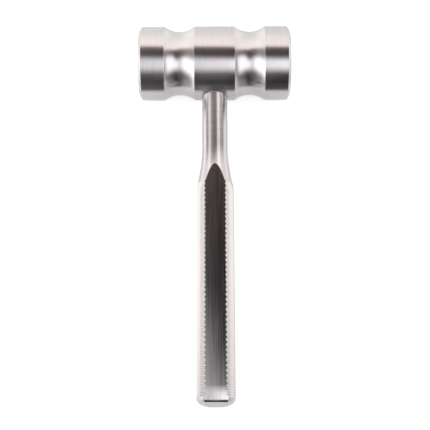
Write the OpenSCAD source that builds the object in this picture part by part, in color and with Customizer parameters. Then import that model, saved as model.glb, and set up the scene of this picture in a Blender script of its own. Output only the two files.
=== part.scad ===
// Surgical mallet: a turned, double-ended steel head on a round neck and a knurled grip.
// The head's axis runs along X, the handle runs from it towards -Y, and +Z is out of the
// grip's front flat. The mallet lies on the plane Z = 0, and the origin is on that plane,
// below the middle of the bounding box.

/* [Head] */
// Diameter of the three lands
head_d = 40; // [38:0.5:44]
// Length between the two striking faces
head_l = 81.6; // [78:0.2:90]
// Width of the centre land, which carries the handle
land_w = 21.6; // [20:0.2:24]
// Width of each waist, along the axis
waist_w = 16.1; // [12:0.1:17]
// Depth of each waist, below the lands
waist_depth = 2.9; // [1:0.1:4]
// Chamfer at each striking face, along the axis
chamfer_l = 1.4; // [0.5:0.1:2]
// The same chamfer, along the radius
chamfer_depth = 2.4; // [0.5:0.1:3]

/* [Neck] */
// Diameter of the neck
neck_d = 13.5; // [12.5:0.1:14]
// Distance from the head's axis to the start of the flare
flare_start = 47.8; // [46:0.2:53]
// Radius of the hollow curve that starts the flare
flare_r = 86; // [65:1:95]
// Half angle of the cone that ends the flare, in degrees
flare_angle = 10.5; // [8:0.1:12]

/* [Grip] */
// Diameter over the crests of the knurl
grip_d = 19.9; // [19.3:0.1:22]
// Distance from the head's axis to the shoulder where the knurl starts
shoulder_at = 69; // [65:0.1:71]
// Height of the step at the shoulder, where the knurl stands above the flare
shoulder_step = 0.3; // [0.2:0.1:0.6]
// Length of the rounded shoulder
shoulder_l = 6; // [4:0.5:10]
// Distance between the front and back flats
across_flats = 15.9; // [15:0.1:17]
// Radius of the curve that rolls each flat inwards at the end of the grip
roll_r = 23; // [20:1:25]
// Length of that rolled end of the flat
roll_l = 6.5; // [6.5:0.5:8]

/* [End] */
// Distance from the head's axis to the end of the handle
handle_end = 185.4; // [160:0.2:220]
// Radius of the plain disc at the middle of the end
end_disc_r = 4; // [4:0.5:5]
// Radius of the curve that rounds the end
end_round_r = 7; // [6:0.5:8]

/* [Joint] */
// Diameter of the threaded stud that holds the head
stud_d = 8; // [7:0.5:8]
// Length of the stud
stud_l = 36; // [30:1:40]
// Depth of the seat, as a distance from the head's axis
seat_at = 18.3; // [17:0.1:18.5]
// Diameter of the locking pin beside the stud
pin_d = 1.6; // [1.2:0.1:1.6]
// Length of the locking pin
pin_l = 10; // [6:1:14]
// Thickness of the weld bead round the neck
bead = 0.5; // [0.4:0.1:1]

/* [Hidden] */
$fn = 96;

head_r = head_d / 2;
neck_r = neck_d / 2;
grip_r = grip_d / 2;
flat_z = across_flats / 2;
head_y = (handle_end - head_r) / 2;

fit_gap = 0.02;                  // radial clearance of a screwed or driven piece in its hole
hole_extra = 0.5;                // room past each end of the stud and the pin
stud_mid = seat_at + hole_extra; // middle of the stud and of the pin, from the head's axis
pin_offset = (stud_d + neck_d) / 4;
drill_point = 118;               // included angle of a drilled hole's end, in degrees

// Radius of an arc from its half chord and its height
function arc_radius(half_chord, height) = (half_chord * half_chord + height * height) / (2 * height);

// Points [radius, distance] along an arc, from angle a0 to angle a1
function arc(centre, r, a0, a1, steps) =
    [for (i = [0:steps])
        let (a = a0 + (a1 - a0) * i / steps)
        [centre[0] + r * cos(a), centre[1] + r * sin(a)]];

flare_arc_end = flare_start + flare_r * sin(flare_angle);
flare_arc_end_r = neck_r + flare_r * (1 - cos(flare_angle));
flare_end_r = flare_arc_end_r + (shoulder_at - flare_arc_end) * tan(flare_angle);
shoulder_rise = grip_r - flare_end_r - shoulder_step;
shoulder_r = arc_radius(shoulder_l, shoulder_rise);
shoulder_sweep = asin(shoulder_l / shoulder_r);
end_sweep = acos((grip_r - end_disc_r) / end_round_r);

// Puts a piece that is drawn round the head's centre in its place
module in_place() {
    translate([0, head_y, head_r])
        children();
}

// Turns a piece that is drawn upright so that its height runs down the handle
module down_handle() {
    rotate([90, 0, 0])
        children();
}

// A drilled hole with a pointed end, upright, from its mouth at z1 down to its depth at z0
module drilled_hole(r, z0, z1) {
    translate([0, 0, z0])
        cylinder(r = r, h = z1 - z0);
    translate([0, 0, z0 - r / tan(drill_point / 2)])
        cylinder(r1 = 0, r2 = r, h = r / tan(drill_point / 2));
}

// Half of the head's section: [radius, distance along the axis]
module head_section() {
    waist_r = arc_radius(waist_w / 2, waist_depth);
    half_l = head_l / 2;
    difference() {
        polygon([
            [0, -half_l],
            [head_r - chamfer_depth, -half_l],
            [head_r, -half_l + chamfer_l],
            [head_r, half_l - chamfer_l],
            [head_r - chamfer_depth, half_l],
            [0, half_l],
        ]);
        for (side = [-1, 1])
            translate([head_r - waist_depth + waist_r, side * (land_w + waist_w) / 2])
                circle(r = waist_r);
    }
}

module head() {
    color("silver")
        in_place()
            difference() {
                rotate([0, 90, 0])
                    rotate_extrude()
                        head_section();
                down_handle() {
                    translate([0, 0, seat_at])
                        cylinder(r = neck_r + fit_gap, h = head_r);
                    drilled_into_head(stud_d / 2, stud_l);
                    translate([pin_offset, 0, 0])
                        drilled_into_head(pin_d / 2, pin_l);
                }
            }
}

// The half of a stud or pin hole that is in the head
module drilled_into_head(r, l) {
    drilled_hole(r + fit_gap, stud_mid - l / 2 - hole_extra, seat_at + hole_extra);
}

// The half of a stud or pin hole that is in the neck
module drilled_into_neck(r, l) {
    translate([0, 0, 2 * seat_at])
        mirror([0, 0, 1])
            drilled_hole(r + fit_gap, 2 * seat_at - stud_mid - l / 2 - hole_extra, seat_at + hole_extra);
}

// Half of the handle's section: [radius, distance from the head's axis]
module handle_section() {
    polygon(concat(
        [[0, seat_at], [neck_r, seat_at]],
        arc([neck_r + flare_r, flare_start], flare_r, 180, 180 - flare_angle, 16),
        [[flare_end_r, shoulder_at]],
        arc([grip_r - shoulder_r, shoulder_at + shoulder_l], shoulder_r, -shoulder_sweep, 0, 10),
        arc([end_disc_r, handle_end - end_round_r], end_round_r, end_sweep, 90, 16),
        [[0, handle_end]]
    ));
}

// The space between the flats: a slab whose two faces roll inwards at the handle's end
module between_flats() {
    roll_start = handle_end - roll_l;
    linear_extrude(height = grip_d, center = true) {
        translate([-flat_z, 0])
            square([across_flats, roll_start]);
        intersection() {
            translate([-flat_z, 0])
                square([across_flats, handle_end]);
            translate([flat_z - roll_r, roll_start])
                circle(r = roll_r, $fn = 256);
            translate([roll_r - flat_z, roll_start])
                circle(r = roll_r, $fn = 256);
        }
    }
}

module handle() {
    color("gainsboro")
        in_place()
            down_handle()
                difference() {
                    intersection() {
                        rotate_extrude()
                            handle_section();
                        rotate([90, 0, 90])
                            between_flats();
                    }
                    drilled_into_neck(stud_d / 2, stud_l);
                    translate([pin_offset, 0, 0])
                        drilled_into_neck(pin_d / 2, pin_l);
                }
}

// A round bar across the joint face, upright, with half of it on each side
module joint_bar(d, l) {
    translate([0, 0, stud_mid - l / 2])
        cylinder(d = d, h = l);
}

module head_stud() {
    color("darkgray")
        in_place()
            down_handle()
                joint_bar(stud_d, stud_l);
}

module locking_pin() {
    color("dimgray")
        in_place()
            down_handle()
                translate([pin_offset, 0, 0])
                    joint_bar(pin_d, pin_l);
}

// The bead follows the curve where the round neck meets the round head
module neck_weld() {
    color("lightgray")
        in_place()
            difference() {
                intersection() {
                    down_handle()
                        cylinder(r = neck_r + bead, h = head_r + bead);
                    rotate([0, 90, 0])
                        cylinder(r = head_r + bead, h = land_w, center = true);
                }
                down_handle()
                    cylinder(r = neck_r, h = head_d);
                rotate([0, 90, 0])
                    cylinder(r = head_r, h = head_l, center = true);
            }
}

head();
handle();
head_stud();
locking_pin();
neck_weld();
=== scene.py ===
"""Looks of the surgical mallet: polished and brushed stainless steel, a real diamond knurl,
a bright table and soft studio light. Everything is in metres, in the CAD frame."""
import math

import bmesh
import bpy
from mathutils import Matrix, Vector


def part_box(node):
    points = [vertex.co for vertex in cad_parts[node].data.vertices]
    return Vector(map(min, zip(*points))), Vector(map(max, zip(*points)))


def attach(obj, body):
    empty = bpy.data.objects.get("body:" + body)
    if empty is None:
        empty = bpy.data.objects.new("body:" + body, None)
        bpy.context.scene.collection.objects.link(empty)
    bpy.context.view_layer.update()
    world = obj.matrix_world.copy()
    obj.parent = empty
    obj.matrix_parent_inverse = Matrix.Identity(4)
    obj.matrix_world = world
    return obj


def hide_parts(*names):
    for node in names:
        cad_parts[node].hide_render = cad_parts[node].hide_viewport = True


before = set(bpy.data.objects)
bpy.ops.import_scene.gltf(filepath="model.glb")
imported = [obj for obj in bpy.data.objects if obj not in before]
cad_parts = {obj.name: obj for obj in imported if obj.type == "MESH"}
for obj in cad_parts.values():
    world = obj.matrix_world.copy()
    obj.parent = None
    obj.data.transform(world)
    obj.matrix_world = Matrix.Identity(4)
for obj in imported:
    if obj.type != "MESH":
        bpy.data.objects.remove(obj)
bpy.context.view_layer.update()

MM = 0.001
TAU = 2 * math.pi
MERGE_WITHIN = 1e-7           # vertices closer than this are one vertex

# ---------------------------------------------------------------- sizes taken from the frame
head_low, head_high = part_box("head")
handle_low, handle_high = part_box("handle")
HEAD_CENTRE = (head_low + head_high) / 2
HEAD_R = (head_high.z - head_low.z) / 2
HEAD_HALF = (head_high.x - head_low.x) / 2
GRIP_R = (handle_high.x - handle_low.x) / 2
HANDLE_END = HEAD_CENTRE.y - handle_low.y
SEAT_AT = HEAD_CENTRE.y - handle_high.y

# ---------------------------------------------------------------- head
LAND_HALF = 10.8 * MM
WAIST_W = 16.1 * MM
WAIST_DEPTH = 2.9 * MM
CHAMFER_L = 1.4 * MM
CHAMFER_DEPTH = 2.4 * MM
WAIST_EDGE_R = 0.5 * MM       # rounding where a land meets a waist
CHAMFER_EDGE_R = 0.2 * MM
HEAD_SEGMENTS = 256

# ---------------------------------------------------------------- handle, as distances from the head's axis
NECK_R = 6.75 * MM
FLARE_START = 47.8 * MM
FLARE_R = 81 * MM
FLARE_ANGLE = math.radians(10)
SHOULDER_AT = 69 * MM
SHOULDER_L = 6 * MM
SHOULDER_STEP = 0.3 * MM
NECK_RINGS = (24 * MM, 36 * MM)   # extra rings along the plain neck
FLARE_STEPS = 24
END_DISC_R = 3.1 * MM         # the flat disc in the middle of the end
END_ROUND_L = 3.9 * MM        # length of the rounded end, along the handle
END_STEPS = 24

# ---------------------------------------------------------------- knurl
TEETH = 47                    # diamonds round the grip
COLUMNS = 2 * TEETH           # columns of the knurl's grid, half a diamond apart
TOOTH_PITCH = 2.56 * MM       # one diamond, along the grip
TOOTH_DEPTH = 0.65 * MM
TOOTH_TOP = 0.18              # share of a diamond that its flattened top takes
KNURL_START = SHOULDER_AT + 0.7 * MM
END_R = GRIP_R - 0.15 * MM    # radius where the rounded end takes over
END_START = HANDLE_END - END_ROUND_L
ROW_STEP = TOOTH_PITCH / 2    # rows of the knurl's grid are half a diamond apart too
KNURL_ROWS = int((END_START - KNURL_START) / ROW_STEP)

# ---------------------------------------------------------------- flats
FLAT_Z = 7.85 * MM            # half the distance across the flats
FLAT_DUB = 0.2 * MM           # how much deeper they are ground at the flare
DUB_START, DUB_END = 60 * MM, 85 * MM   # the stretch over which that extra depth runs out
ROLL_L = 10 * MM              # the stretch at the end over which a flat rolls inwards
ROLL_R = 45 * MM
NOSE_L = 3.1 * MM             # the last stretch, which is rounded off hard
NOSE_R = 2.2 * MM
NOSE_TURN = math.radians(68)  # slope of the flat at the very end
FLAT_CROWN = 6.5              # how crowned a flat is, in metres of fall per square metre across

# ---------------------------------------------------------------- weld
WELD_R = 0.4 * MM             # hollow radius of the dressed weld
WELD_DEPTH = 0.3 * MM         # how far its hidden corner is sunk into the joint
WELD_SEGMENTS = 192
WELD_STEPS = 8

# ---------------------------------------------------------------- stage
STUDIO_R = 0.78               # distance of the soft boxes and backdrop
STRIPS_R = 0.7
TABLE_SIZE = 1.7
TABLE_WHITE = 0.9
TABLE_NEAR, TABLE_FAR = 0.03, 0.06        # the table is only reflected in what lies this close to it
TABLE_GLOW = 0.17                         # its own light, for everything but the camera
TABLE_GLOW_SEEN = 0.55                    # and for the camera
TABLE_GLOW_EDGE = 1.0                     # and for the camera where the table has run out into white
TABLE_EDGE_START, TABLE_EDGE_END = 0.3, 0.5   # distances from its middle over which it does so

# ---------------------------------------------------------------- camera
CAMERA_AT = Vector((0, -0.245, 0.555))    # from the middle of the head
CAMERA_LOOK = Vector((0, 0.2756, -0.9613))
CAMERA_LENS, CAMERA_SENSOR = 92.35, 36    # in millimetres
CAMERA_ROLL = math.radians(-0.26)
CAMERA_SHIFT = -0.0006


# ================================================================ meshes
def new_object(name, bm, materials):
    """Turns a bmesh into an object with these materials."""
    bmesh.ops.remove_doubles(bm, verts=bm.verts, dist=MERGE_WITHIN)
    bmesh.ops.recalc_face_normals(bm, faces=bm.faces)
    mesh = bpy.data.meshes.new(name)
    bm.to_mesh(mesh)
    bm.free()
    for material in materials:
        mesh.materials.append(material)
    obj = bpy.data.objects.new(name, mesh)
    bpy.context.scene.collection.objects.link(obj)
    return obj


def shade(obj, sharp_degrees, crisp_slot=None):
    """Smooth shading, with edges kept sharp past an angle and all round the faces of crisp_slot."""
    mesh = obj.data
    mesh.polygons.foreach_set("use_smooth", [True] * len(mesh.polygons))
    mesh.set_sharp_from_angle(angle=math.radians(sharp_degrees))
    if crisp_slot is not None:
        bm = bmesh.new()
        bm.from_mesh(mesh)
        for edge in bm.edges:
            inside = [face.material_index == crisp_slot for face in edge.link_faces]
            if any(inside) and not all(inside):
                edge.smooth = False
        bm.to_mesh(mesh)
        bm.free()
    mesh.update()


def ring(bm, place, radius, along, count):
    """A closed ring of vertices. place(angle, radius, along) gives a vertex its position."""
    return [bm.verts.new(place(TAU * i / count, radius, along)) for i in range(count)]


def bridge(bm, a, b, slot):
    """Joins two rings with as many vertices each."""
    for i in range(len(a)):
        j = (i + 1) % len(a)
        bm.faces.new((a[i], a[j], b[j], b[i])).material_index = slot


def cap(bm, verts, slot):
    bm.faces.new(verts).material_index = slot


def arc_points(cx, cy, r, a0, a1, steps):
    """Points (x, y) on an arc, both ends included."""
    return [(cx + r * math.cos(a0 + (a1 - a0) * i / steps),
             cy + r * math.sin(a0 + (a1 - a0) * i / steps)) for i in range(steps + 1)]


def rounded_corner(before, corner, after, r, steps=5):
    """The corner of an outline, rounded to radius r: a list of (x, y)."""
    u = (Vector(before) - Vector(corner)).normalized()
    v = (Vector(after) - Vector(corner)).normalized()
    half = u.angle(v) / 2
    centre = Vector(corner) + (u + v).normalized() * (r / math.sin(half))
    start = Vector(corner) + u * (r / math.tan(half)) - centre
    turn = (math.pi - 2 * half) * (1 if u.cross(v) < 0 else -1)
    points = []
    for i in range(steps + 1):
        a = -turn * i / steps
        points.append((centre.x + start.x * math.cos(a) - start.y * math.sin(a),
                       centre.y + start.x * math.sin(a) + start.y * math.cos(a)))
    return points


# ---------------------------------------------------------------- the head
LAND, WAIST, CHAMFER, FACE = range(4)


def head_outline():
    """Half of the head's outline, from its middle to the middle of its right face. Each point is
    (distance along the head, radius, material slot of the stretch that follows)."""
    waist_half = WAIST_W / 2
    waist_r = (waist_half ** 2 + WAIST_DEPTH ** 2) / (2 * WAIST_DEPTH)
    reach = waist_r + WAIST_EDGE_R        # between the middles of the waist's arc and its edge's arc
    dx = math.sqrt(reach ** 2 - (reach - WAIST_DEPTH) ** 2)
    sweep = math.asin(dx / reach)
    mid = LAND_HALF + waist_half
    top = math.pi / 2
    edge_steps, bowl_steps = 6, 40
    outline = [(0.0, HEAD_R, LAND), (LAND_HALF / 2, HEAD_R, LAND)]
    inner = arc_points(mid - dx, HEAD_R - WAIST_EDGE_R, WAIST_EDGE_R, top, top - sweep, edge_steps)
    bowl = arc_points(mid, HEAD_R - WAIST_DEPTH + waist_r, waist_r, -top - sweep, -top + sweep, bowl_steps)
    outer = arc_points(mid + dx, HEAD_R - WAIST_EDGE_R, WAIST_EDGE_R, top + sweep, top, edge_steps)
    outline += [(x, y, WAIST) for x, y in inner + bowl[1:-1] + outer]
    outline[-1] = (*outline[-1][:2], LAND)
    chamfer_in = (HEAD_HALF - CHAMFER_L, HEAD_R)
    chamfer_out = (HEAD_HALF, HEAD_R - CHAMFER_DEPTH)
    first = rounded_corner((0, HEAD_R), chamfer_in, chamfer_out, CHAMFER_EDGE_R)
    last = rounded_corner(chamfer_in, chamfer_out, (HEAD_HALF, 0), CHAMFER_EDGE_R)
    outline += [(x, y, CHAMFER) for x, y in first + last]
    outline[-1] = (*outline[-1][:2], FACE)
    rings_on_face = 6
    for i in range(1, rings_on_face):     # outline[-i] is always the face's outermost point
        outline.append((HEAD_HALF, outline[-i][1] * (1 - i / rings_on_face), FACE))
    return outline


def make_head(materials):
    """One turned bar: lands, waists, chamfers and faces."""
    bm = bmesh.new()
    right = head_outline()
    # mirrored, each stretch belongs to the point at its other end
    left = [(-x, r, right[i - 1][2]) for i, (x, r, _) in enumerate(right) if i][::-1]
    outline = left + right

    def place(angle, radius, along):
        return HEAD_CENTRE + Vector((along, radius * math.sin(angle), radius * math.cos(angle)))

    rings = [ring(bm, place, r, x, HEAD_SEGMENTS) for x, r, _ in outline]
    for (_, _, slot), a, b in zip(outline, rings, rings[1:]):
        bridge(bm, a, b, slot)
    cap(bm, rings[0], FACE)
    cap(bm, rings[-1], FACE)
    head = new_object("mallet_head", bm, materials)
    shade(head, sharp_degrees=35)
    return head


# ---------------------------------------------------------------- the handle
NECK, KNURL, END, FLAT = range(4)


def handle_place(angle, radius, along):
    """A point of the handle: angle from +Z round the handle's axis, and distance along it from the
    head's axis."""
    return HEAD_CENTRE + Vector((radius * math.sin(angle), -along, radius * math.cos(angle)))


def flare_radius(s):
    """Radius of the smooth part of the handle."""
    arc_end = FLARE_START + FLARE_R * math.sin(FLARE_ANGLE)
    if s <= FLARE_START:
        return NECK_R
    if s <= arc_end:
        return NECK_R + FLARE_R - math.sqrt(FLARE_R ** 2 - (s - FLARE_START) ** 2)
    return flare_radius(arc_end) + (s - arc_end) * math.tan(FLARE_ANGLE)


def crest_radius(s):
    """Radius over the knurl's crests, rounded at the shoulder."""
    rise = GRIP_R - flare_radius(SHOULDER_AT) - SHOULDER_STEP
    left = max(0.0, 1 - (s - SHOULDER_AT) / SHOULDER_L)
    return GRIP_R - rise * left * left


def root_radius(s):
    """Radius at the bottom of the knurl's grooves, which run out on the flare."""
    return min(GRIP_R - TOOTH_DEPTH, flare_radius(s), crest_radius(s))


def knurl_mesh(bm):
    """Diamonds with flattened tops between two crossing sets of grooves.

    The grooves cross where i + j is even, and a diamond stands where it is odd. Both results are
    by (column, row): one vertex for each crossing, and a list of vertices for each diamond's top."""
    crossings, tops = {}, {}
    for j in range(KNURL_ROWS + 1):
        s = KNURL_START + j * ROW_STEP
        for i in range(COLUMNS):
            if (i + j) % 2 == 0:
                crossings[i, j] = bm.verts.new(handle_place(TAU * i / COLUMNS, root_radius(s), s))

    def top_point(i, j, di, dj):
        s = KNURL_START + (j + dj * TOOTH_TOP) * ROW_STEP
        radius = crest_radius(s) * (1 - TOOTH_TOP) + root_radius(s) * TOOTH_TOP
        return bm.verts.new(handle_place(TAU * (i + di * TOOTH_TOP) / COLUMNS, radius, s))

    for j in range(KNURL_ROWS + 1):
        sides = [(1, 0), (0, 1), (-1, 0), (0, -1)]
        flanks = 4
        if j == 0:
            sides = [(1, 0), (0, 1), (-1, 0)]
            flanks = 2
        if j == KNURL_ROWS:
            sides = [(-1, 0), (0, -1), (1, 0)]
            flanks = 2
        for i in range(COLUMNS):
            if (i + j) % 2 == 0:
                continue
            top = [top_point(i, j, *side) for side in sides]
            corners = [crossings[(i + di) % COLUMNS, j + dj] for di, dj in sides]
            bm.faces.new(top).material_index = KNURL
            for k in range(flanks):
                m = (k + 1) % len(sides)
                bm.faces.new((corners[k], corners[m], top[m], top[k])).material_index = KNURL
            tops[i, j] = top
    return crossings, tops


def edge_row(crossings, tops, j):
    """The knurl's first or last row as (column, vertex), in order round the grip."""
    row = []
    for i in range(COLUMNS):
        if (i + j) % 2 == 0:
            row.append((i, crossings[i, j]))
        elif j == 0:
            row += [(i, tops[i, j][2]), (i, tops[i, j][0])]
        else:
            row += [(i, tops[i, j][0]), (i, tops[i, j][2])]
    return row


def close_row(bm, row, smooth_ring, slot):
    """Joins the knurl's uneven edge to a smooth ring, which has two vertices to each column."""
    for (i, a), (j, b) in zip(row, row[1:] + row[:1]):
        start, middle, end = [smooth_ring[(2 * i + k) % len(smooth_ring)] for k in range(3)]
        if i == j:
            faces = [(a, b, start)]
        else:
            faces = [(a, middle, start), (a, b, middle), (b, end, middle)]
        for corners in faces:
            bm.faces.new(corners).material_index = slot


def handle_body(materials):
    """The handle before its flats: neck, flare, knurl and rounded end, one closed mesh."""
    bm = bmesh.new()
    smooth_count = 2 * COLUMNS
    arc_end = FLARE_START + FLARE_R * math.sin(FLARE_ANGLE)
    cone_steps = 4
    stations = [SEAT_AT, *NECK_RINGS]
    stations += [FLARE_START + (arc_end - FLARE_START) * i / FLARE_STEPS for i in range(FLARE_STEPS + 1)]
    stations += [arc_end + (SHOULDER_AT - arc_end) * i / cone_steps for i in range(1, cone_steps + 1)]
    rings = [ring(bm, handle_place, flare_radius(s), s, smooth_count) for s in stations]
    for a, b in zip(rings, rings[1:]):
        bridge(bm, a, b, NECK)
    cap(bm, rings[0], NECK)

    crossings, tops = knurl_mesh(bm)
    close_row(bm, edge_row(crossings, tops, 0), rings[-1], KNURL)

    quarter = arc_points(0, 0, 1, 0, math.pi / 2, END_STEPS)
    dome = [(END_DISC_R + (END_R - END_DISC_R) * x, END_START + END_ROUND_L * y) for x, y in quarter]
    end_rings = [ring(bm, handle_place, r, s, smooth_count) for r, s in dome]
    close_row(bm, edge_row(crossings, tops, KNURL_ROWS), end_rings[0], END)
    for a, b in zip(end_rings, end_rings[1:]):
        bridge(bm, a, b, END)
    cap(bm, end_rings[-1], END)
    return new_object("mallet_handle", bm, materials)


def flat_depth(s):
    """Distance from the handle's axis to a flat, short of the nose."""
    t = min(1.0, max(0.0, (s - DUB_START) / (DUB_END - DUB_START)))
    depth = FLAT_Z - FLAT_DUB * (1 - t) ** 2
    past = max(0.0, s - (HANDLE_END - ROLL_L))
    return depth - (ROLL_R - math.sqrt(ROLL_R ** 2 - past ** 2))


def nose_outline():
    """The flat's last stretch: a tight curve, then a nearly upright slope to the handle's axis."""
    start = HANDLE_END - NOSE_L
    lean = math.asin((ROLL_L - NOSE_L) / ROLL_R)
    centre_s = start - NOSE_R * math.sin(lean)
    centre_z = flat_depth(start) - NOSE_R * math.cos(lean)
    a0, a1 = math.pi / 2 - lean, math.pi / 2 - NOSE_TURN
    points = arc_points(centre_s, centre_z, NOSE_R, a0, a1, steps=12)
    s, z = points[-1]
    return points + [(s + z * math.tan(math.pi / 2 - NOSE_TURN), 0.0)]


def between_flats(material):
    """The slab that is left between the two flats: its faces roll inwards at the handle's end."""
    bm = bmesh.new()
    before_seat = 2 * MM
    steps = 12
    stations = [SEAT_AT - before_seat, DUB_START]
    stations += [DUB_START + (DUB_END - DUB_START) * i / steps for i in range(1, steps + 1)]
    stations += [HANDLE_END - ROLL_L + (ROLL_L - NOSE_L) * i / steps for i in range(steps)]
    outline = [(s, flat_depth(s)) for s in stations] + nose_outline()
    outline += [(s, -z) for s, z in reversed(outline[:-1])]
    half_w = 1.3 * GRIP_R         # anything wider than the grip
    sides = [[bm.verts.new(HEAD_CENTRE + Vector((x, -s, z))) for s, z in outline]
             for x in (-half_w, half_w)]
    for i in range(len(outline)):
        j = (i + 1) % len(outline)
        bm.faces.new((sides[0][i], sides[0][j], sides[1][j], sides[1][i]))
    cap(bm, sides[0], 0)
    cap(bm, sides[1], 0)
    return new_object("between_flats", bm, [material])


def make_handle(materials):
    """The handle, with its two flats cut through the knurl."""
    handle = handle_body(materials)
    slab = between_flats(materials[FLAT])
    cut = handle.modifiers.new("flats", "BOOLEAN")
    cut.operation = "INTERSECT"
    cut.solver = "EXACT"
    cut.object = slab
    cut.material_mode = "TRANSFER"
    depsgraph = bpy.context.evaluated_depsgraph_get()
    mesh = bpy.data.meshes.new_from_object(handle.evaluated_get(depsgraph))
    handle.modifiers.clear()
    handle.data = mesh
    bpy.data.objects.remove(slab)
    shade(handle, sharp_degrees=28, crisp_slot=FLAT)
    return handle


# ---------------------------------------------------------------- the weld
def make_weld(material):
    """A hollow fillet that follows the curve where the round neck meets the round head."""
    bm = bmesh.new()

    def head_surface(radius, angle):
        return math.sqrt(HEAD_R ** 2 - (radius * math.cos(angle)) ** 2)

    sections = []
    for i in range(WELD_SEGMENTS):
        angle = TAU * i / WELD_SEGMENTS
        section = []
        for k in range(WELD_STEPS + 1):
            t = math.pi / 2 * k / WELD_STEPS
            radius = NECK_R + WELD_R * (1 - math.cos(t))
            s = head_surface(radius, angle) + WELD_R * (1 - math.sin(t))
            section.append(bm.verts.new(handle_place(angle, radius, s)))
        buried = NECK_R - WELD_DEPTH
        section.append(bm.verts.new(handle_place(angle, buried, head_surface(buried, angle) - WELD_DEPTH)))
        sections.append(section)
    for i in range(WELD_SEGMENTS):
        a, b = sections[i], sections[(i + 1) % WELD_SEGMENTS]
        for k in range(len(a)):
            m = (k + 1) % len(a)
            bm.faces.new((a[k], a[m], b[m], b[k]))
    weld = new_object("weld_fillet", bm, [material])
    shade(weld, sharp_degrees=40)
    return weld


# ================================================================ materials
STEEL = (0.72, 0.71, 0.705)
BRUSHED = (0.70, 0.69, 0.685)
KNURLED = (0.71, 0.695, 0.685)
WELD_PAINTED_SHADE = (0.36, 0.34, 0.33)       # painted shade: darker than the bars, so a dark line of shade lies round the joint of neck and head
TURNED = (0.6, 0.6, 0.61)
ACROSS_HEAD = (1, 0, 0)
DOWN_HANDLE = (0, 1, 0)
CLOUD_SCALE = 60.0                # faint clouds in every steel, some 17 mm across
MARKS_DARKEN = 1.6                # how much darker the deepest marks are, as a multiple of marks_depth


class Nodes:
    """A short way to write node trees."""

    def __init__(self, owner):
        """Starts an empty tree in a new material or world."""
        owner.use_nodes = True
        self.tree = owner.node_tree
        self.tree.nodes.clear()
        self.x = 0

    def add(self, kind, **settings):
        node = self.tree.nodes.new(kind)
        node.location = (self.x, 0)
        self.x += 180
        for key, value in settings.items():
            setattr(node, key, value)
        return node

    def set(self, node, **inputs):
        """Each input is a value or a socket; underscores in its name stand for spaces."""
        for key, value in inputs.items():
            socket = node.inputs[key.replace("_", " ")]
            self.feed(socket, value)
        return node

    def feed(self, socket, value):
        if isinstance(value, bpy.types.NodeSocket):
            self.tree.links.new(value, socket)
        else:
            socket.default_value = value

    def output(self, shader, kind="ShaderNodeOutputMaterial"):
        """The tree's result is this shader."""
        self.feed(self.add(kind).inputs[0], shader.outputs[0])

    def both(self, first, second):
        """The light of two shaders, added up."""
        node = self.add("ShaderNodeAddShader")
        self.feed(node.inputs[0], first.outputs[0])
        self.feed(node.inputs[1], second.outputs[0])
        return node

    def math(self, operation, a, b=0.0, clamp=False):
        node = self.add("ShaderNodeMath", operation=operation, use_clamp=clamp)
        self.feed(node.inputs[0], a)
        self.feed(node.inputs[1], b)
        return node.outputs[0]

    def vector(self, operation, a, b=(0, 0, 0)):
        node = self.add("ShaderNodeVectorMath", operation=operation)
        self.feed(node.inputs[0], a)
        self.feed(node.inputs[1], b)
        return node.outputs[0]

    def smooth(self, value, low, high, start=0.0, end=1.0):
        """start below low, end above high, and a smooth step between."""
        node = self.add("ShaderNodeMapRange", interpolation_type="SMOOTHSTEP")
        self.set(node, Value=value, From_Min=low, From_Max=high, To_Min=start, To_Max=end)
        return node.outputs[0]

    def noise(self, vector, scale, detail=2.0):
        node = self.add("ShaderNodeTexNoise")
        self.set(node, Vector=vector, Scale=scale, Detail=detail)
        return node.outputs["Fac"]

    def direction(self, along):
        """A fixed direction, as a socket."""
        node = self.add("ShaderNodeCombineXYZ")
        for socket, value in zip(node.inputs, along):
            socket.default_value = value
        return node.outputs[0]

    def mix(self, factor, a, b):
        """Colour a where factor is 0, colour b where it is 1."""
        node = self.add("ShaderNodeMix", data_type="RGBA")   # its colours are inputs 6 and 7 and output 2
        self.feed(node.inputs[0], factor)
        self.feed(node.inputs[6], a)
        self.feed(node.inputs[7], b)
        return node.outputs[2]


def steel(name, colour, roughness, anisotropy=0.0, tangent=None, grain=(1, 1, 1), grain_scale=600.0,
          grain_height=0.0, marks_depth=0.05, crown=0.0):
    """Stainless steel. The highlight stretches along tangent. grain squeezes the surface texture along
    an axis, so brush marks are short across and long along, and marks_depth is how much they change
    the colour and roughness. crown is how fast the surface falls away from its middle along X."""
    material = bpy.data.materials.new(name)
    n = Nodes(material)
    here = n.add("ShaderNodeTexCoord").outputs["Object"]
    marks = n.noise(n.vector("MULTIPLY", here, grain), grain_scale, 3.0)
    clouds = n.noise(here, CLOUD_SCALE)
    shader = n.add("ShaderNodeBsdfPrincipled")
    shades = n.math("ADD", n.math("MULTIPLY", clouds, 0.5), n.smooth(marks, 0.35, 0.65, 0.0, 0.5))
    darker = tuple(c * (1 - MARKS_DARKEN * marks_depth) for c in colour) + (1.0,)
    n.set(shader, Base_Color=n.mix(shades, darker, tuple(colour) + (1.0,)), Metallic=1.0)
    spread = n.math("MULTIPLY", n.math("SUBTRACT", marks, 0.5), marks_depth)
    n.set(shader, Roughness=n.math("ADD", roughness, spread, clamp=True), Anisotropic=anisotropy)
    if tangent is not None:
        n.set(shader, Tangent=n.direction(tangent))
    if grain_height or crown:
        x = n.add("ShaderNodeSeparateXYZ")
        n.feed(x.inputs[0], here)
        fall = n.math("MULTIPLY", n.math("MULTIPLY", x.outputs[0], x.outputs[0]), -crown)
        bump = n.add("ShaderNodeBump")
        n.set(bump, Height=n.math("ADD", fall, n.math("MULTIPLY", marks, grain_height)), Distance=1.0)
        n.set(shader, Normal=bump.outputs[0])
    n.output(shader)
    return material


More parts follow.
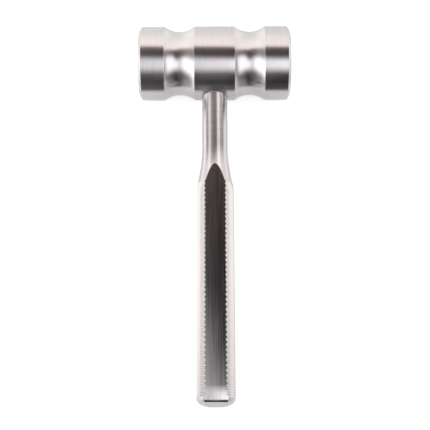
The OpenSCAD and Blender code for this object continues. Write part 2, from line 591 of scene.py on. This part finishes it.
def head_materials():
    """In the order of LAND, WAIST, CHAMFER and FACE."""
    # the lands are brushed round the head, so their marks are fine along X and long around it
    land = steel("land_steel", BRUSHED, 0.22, anisotropy=0.3, tangent=ACROSS_HEAD,
                 grain=(1, 0.04, 0.04), grain_scale=1900, grain_height=2.0e-6, marks_depth=0.06)
    waist = steel("waist_steel", STEEL, 0.25, anisotropy=0.4, tangent=ACROSS_HEAD,
                  grain=(1, 0.1, 0.1), grain_scale=500, marks_depth=0.03)
    chamfer = steel("chamfer_steel", STEEL, 0.14, grain=(1, 0.1, 0.1), grain_scale=500)
    face = steel("face_steel", STEEL, 0.28, grain_scale=900, grain_height=1.0e-6)
    return [land, waist, chamfer, face]


def handle_materials():
    """In the order of NECK, KNURL, END and FLAT."""
    # the neck is polished round its axis too, which smears reflections along it
    neck = steel("neck_steel", STEEL, 0.19, anisotropy=0.9, tangent=DOWN_HANDLE,
                 grain=(0.2, 1, 0.2), grain_scale=500)
    knurl = steel("knurl_steel", KNURLED, 0.22, grain_scale=700)
    end = steel("end_steel", STEEL, 0.36, grain_scale=700, grain_height=0.5e-6)
    flat = steel("flat_steel", BRUSHED, 0.16, anisotropy=0.3, tangent=ACROSS_HEAD,
                 grain=(1, 0.03, 1), grain_scale=1300, grain_height=3.0e-6, marks_depth=0.12,
                 crown=FLAT_CROWN)
    return [neck, knurl, end, flat]


def weld_painted_shade_material():
    # the fillet's dark colour is painted shade where the neck meets the head, not a darker steel
    return steel("weld_fillet_painted_shade", WELD_PAINTED_SHADE, 0.45, grain_scale=500)


def inner_material(node, roughness):
    """The plain turned steel of a piece inside the joint, with marks round it."""
    return steel(node + "_steel", TURNED, roughness, grain=(1, 12, 1))


# ================================================================ stage
# The light comes from a dome whose brightness is a formula of direction. Directions are in
# degrees from straight up: x towards the head's right face, y away from the handle. Each
# smooth(value, low, high, start, end) below is one soft edge between two such directions.
def degrees_map(n):
    """The direction from the head, as its angle from straight up and that angle's x and y parts."""
    here = n.vector("NORMALIZE", n.add("ShaderNodeTexCoord").outputs["Object"])
    parts = n.add("ShaderNodeSeparateXYZ")
    n.feed(parts.inputs[0], here)
    x, y, z = parts.outputs
    away = n.math("MULTIPLY", n.math("ARCCOSINE", z), 180 / math.pi)
    flat = n.math("SQRT", n.math("ADD", n.math("MULTIPLY", x, x), n.math("MULTIPLY", y, y)))
    per = n.math("DIVIDE", away, n.math("MAXIMUM", flat, 1e-4))
    return away, n.math("MULTIPLY", x, per), n.math("MULTIPLY", y, per)


def add_light(n, base, colour, amount):
    """base plus colour times amount."""
    scaled = n.add("ShaderNodeVectorMath", operation="SCALE")
    n.feed(scaled.inputs[0], colour)
    n.feed(scaled.inputs["Scale"], amount)
    return n.vector("ADD", base, scaled.outputs[0])


def times(n, first, *others):
    """The product of all of them."""
    for other in others:
        first = n.math("MULTIPLY", first, other)
    return first


def room_light(n, away, x, y, across):
    """The dark room behind the camera, lighter to the sides, at its horizon and in the middle
    towards the handle, and warm below the backdrop."""
    sides = times(n, n.smooth(across, 12, 44, 0.0, 0.13), n.smooth(across, 52, 62, 1.0, 0.7))
    left = n.smooth(x, -24, 6, 0.09, -0.008)
    middle = n.smooth(across, 1, 4, 0.26, 0.0)
    middle = times(n, middle, n.smooth(y, -88, -62), n.smooth(y, -50, -32, 1.0, 0.0))
    pale = n.math("ADD", n.math("ADD", sides, left), middle)
    light = add_light(n, (0.019, 0.016, 0.019), (1, 0.98, 1), pale)
    light = add_light(n, light, (1.0, 0.66, 0.45), n.smooth(y, 0, 12, 0.0, 0.03))
    light = add_light(n, light, (1.0, 0.72, 0.62), n.smooth(y, 10, 25, 0.0, 0.09))
    horizon = times(n, n.smooth(away, 78, 100), n.smooth(away, 108, 118, 1.0, 0.0))
    horizon = times(n, horizon, n.smooth(across, 8, 50, 0.04, 0.20))
    return add_light(n, light, (1.0, 0.97, 0.97), horizon)


def strip_light(n):
    """Two narrow cards on both sides of the handle, which only light the handle."""
    _, x, y = degrees_map(n)
    ends = times(n, n.smooth(y, 10, 20), n.smooth(y, 28, 34, 1.0, 0.0))
    left = times(n, n.smooth(x, -62, -54), n.smooth(x, -44, -30, 0.85, 0.0), ends)
    right = times(n, n.smooth(x, 12, 24), n.smooth(x, 38, 48, 0.98, 0.0), ends)
    light = add_light(n, (0, 0, 0), (1.0, 0.91, 0.91), left)
    return add_light(n, light, (0.99, 0.99, 1.02), right)


def soft_boxes(n, x, y):
    """A pair of soft boxes overhead that meet in a dimmer middle, as an amount of light. top and
    low are how far their upper and lower edges stray from straight lines."""
    top = n.math("ADD", n.smooth(x, 7, 28, 0.0, 17.0), n.smooth(x, -34, -5, 5.0, 0.0))
    top = n.math("ADD", top, n.smooth(x, -12, 12, 5.0, -4.0))
    low = n.math("ADD", n.smooth(x, -50, -10, -6.0, 0.0), n.smooth(x, 10, 45, 0.0, -1.0))
    below_top = n.smooth(n.math("SUBTRACT", y, top), -19, 1, 1.0, 0.0)
    above_low = n.smooth(n.math("SUBTRACT", y, low), -58, -30)
    strong = n.math("ADD", n.smooth(x, -7, 7, 0.0, 0.7), n.smooth(x, -20, -9, 0.7, 0.0))
    width = times(n, n.smooth(x, 56, 76, 1.0, 0.0), n.smooth(x, -95, -80))
    return times(n, below_top, above_low, width, n.math("ADD", strong, 0.75))


def studio_light(n):
    """The light that comes to the mallet from each direction, as a colour."""
    away, x, y = degrees_map(n)
    across = n.math("ABSOLUTE", x)
    light = room_light(n, away, x, y, across)
    light = add_light(n, light, (1.0, 0.965, 1.0), soft_boxes(n, x, y))

    # the backdrop, warm above and neutral further down, with a lower edge that slopes a little
    above = n.smooth(n.math("ADD", y, n.smooth(x, -8, 8, -2.2, 2.2)), 25, 33)
    tint = n.mix(n.smooth(away, 45, 95), (1.0, 0.925, 0.905, 1), (0.99, 1.0, 0.99, 1))
    amount = times(n, n.smooth(away, 40, 112, 1.18, 0.76), n.smooth(across, 10, 35, 1.0, 0.92))
    light = add_light(n, light, tint, times(n, above, amount))

    # pale side walls and the white table
    walls = n.math("ADD", n.smooth(x, -95, -76, 0.93, 0.0), n.smooth(x, 74, 93, 0.0, 0.67))
    table = times(n, n.smooth(away, 112, 118), n.smooth(away, 115, 160, 0.55, 0.74))
    lower = times(n, n.math("MAXIMUM", walls, table), n.math("SUBTRACT", 1.0, above))
    return add_light(n, light, (1.0, 1.0, 0.98), lower)


def glowing_dome(name, radius, light):
    """A dome round the mallet that sends out light(n) and lets other light through. The camera
    doesn't see it."""
    bm = bmesh.new()
    bmesh.ops.create_icosphere(bm, subdivisions=3, radius=radius)
    material = bpy.data.materials.new(name)
    n = Nodes(material)
    glow = n.set(n.add("ShaderNodeEmission"), Color=light(n), Strength=1.0)
    n.output(n.both(glow, n.add("ShaderNodeBsdfTransparent")))
    dome = new_object(name, bm, [material])
    dome.location = HEAD_CENTRE
    dome.visible_camera = False
    dome.visible_shadow = False
    return dome


def make_studio(handle):
    """A soft studio all round, two strips for the handle alone, and plain white for the camera."""
    glowing_dome("studio_dome", STUDIO_R, studio_light)
    strips = glowing_dome("handle_strips", STRIPS_R, strip_light)
    lit = bpy.data.collections.new("lit_by_strips")
    lit.objects.link(handle)
    strips.light_linking.receiver_collection = lit

    world = bpy.data.worlds.new("plain_white")
    bpy.context.scene.world = world
    n = Nodes(world)
    seen = n.add("ShaderNodeLightPath").outputs["Is Camera Ray"]
    background = n.set(n.add("ShaderNodeBackground"), Color=(1, 1, 1, 1), Strength=seen)
    n.output(background, "ShaderNodeOutputWorld")


def floor_slope():
    """How far the handle droops when head and handle both touch the table, as an angle about X."""
    back = Vector((-(HANDLE_END - ROLL_L), -FLAT_Z))
    to_end = math.atan2(-back.y, -back.x)
    return math.asin(HEAD_R / back.length) - to_end


def table_material():
    """White, and brighter for the camera. Not there from below, or in reflections from far off."""
    material = bpy.data.materials.new("table_white")
    n = Nodes(material)
    path = n.add("ShaderNodeLightPath").outputs
    lit = n.set(n.add("ShaderNodeBsdfDiffuse"), Color=(TABLE_WHITE, TABLE_WHITE, TABLE_WHITE, 1))

    distance = n.add("ShaderNodeVectorMath", operation="LENGTH")
    n.feed(distance.inputs[0], n.add("ShaderNodeTexCoord").outputs["Object"])
    seen = n.smooth(distance.outputs["Value"], TABLE_EDGE_START, TABLE_EDGE_END,
                    TABLE_GLOW_SEEN, TABLE_GLOW_EDGE)
    strength = n.smooth(path["Is Camera Ray"], 0, 1, TABLE_GLOW, seen)
    glow = n.set(n.add("ShaderNodeEmission"), Color=(1, 1, 1, 1), Strength=strength)

    far = n.math("MULTIPLY", n.smooth(path["Ray Length"], TABLE_NEAR, TABLE_FAR), path["Is Glossy Ray"])
    below = n.add("ShaderNodeNewGeometry").outputs["Backfacing"]
    table = n.add("ShaderNodeMixShader")
    n.feed(table.inputs[0], n.math("MAXIMUM", below, far))
    n.feed(table.inputs[1], n.both(lit, glow).outputs[0])
    n.feed(table.inputs[2], n.add("ShaderNodeBsdfTransparent").outputs[0])
    n.output(table)
    return material


def make_floor():
    """A plain pale table that head and handle both touch."""
    bpy.ops.mesh.primitive_plane_add(size=TABLE_SIZE)
    floor = bpy.context.object
    floor.name = "table_top"
    slope = floor_slope()
    down = Vector((0, -math.sin(slope), -math.cos(slope)))
    floor.rotation_euler = (-slope, 0, 0)
    floor.location = HEAD_CENTRE + down * HEAD_R
    floor.data.materials.append(table_material())


def make_camera():
    """The photograph's view: from the handle's side, looking steeply down."""
    data = bpy.data.cameras.new("view")
    camera = bpy.data.objects.new("view", data)
    bpy.context.scene.collection.objects.link(camera)
    data.sensor_width = CAMERA_SENSOR
    data.lens = CAMERA_LENS
    camera.location = HEAD_CENTRE + CAMERA_AT
    camera.rotation_euler = CAMERA_LOOK.to_track_quat("-Z", "Y").to_euler()
    camera.rotation_euler.rotate_axis("Z", CAMERA_ROLL)
    data.shift_x = CAMERA_SHIFT
    bpy.context.scene.camera = camera


# ================================================================ the scene
def main():
    head = make_head(head_materials())
    handle = make_handle(handle_materials())
    weld = make_weld(weld_painted_shade_material())
    for piece, node, slot in ((head, "head", "head_steel"),
                              (handle, "handle", "handle_steel"),
                              (weld, "neck_weld", "weld_steel")):
        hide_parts(node)
        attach(piece, "root")
    for node, roughness in (("head_stud", 0.35), ("locking_pin", 0.22)):
        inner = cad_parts[node]
        inner.data.materials.clear()
        inner.data.materials.append(inner_material(node, roughness))
    make_floor()
    make_studio(handle)
    make_camera()
    scene = bpy.context.scene
    scene.view_settings.view_transform = "Standard"
    scene.view_settings.look = "None"


main()
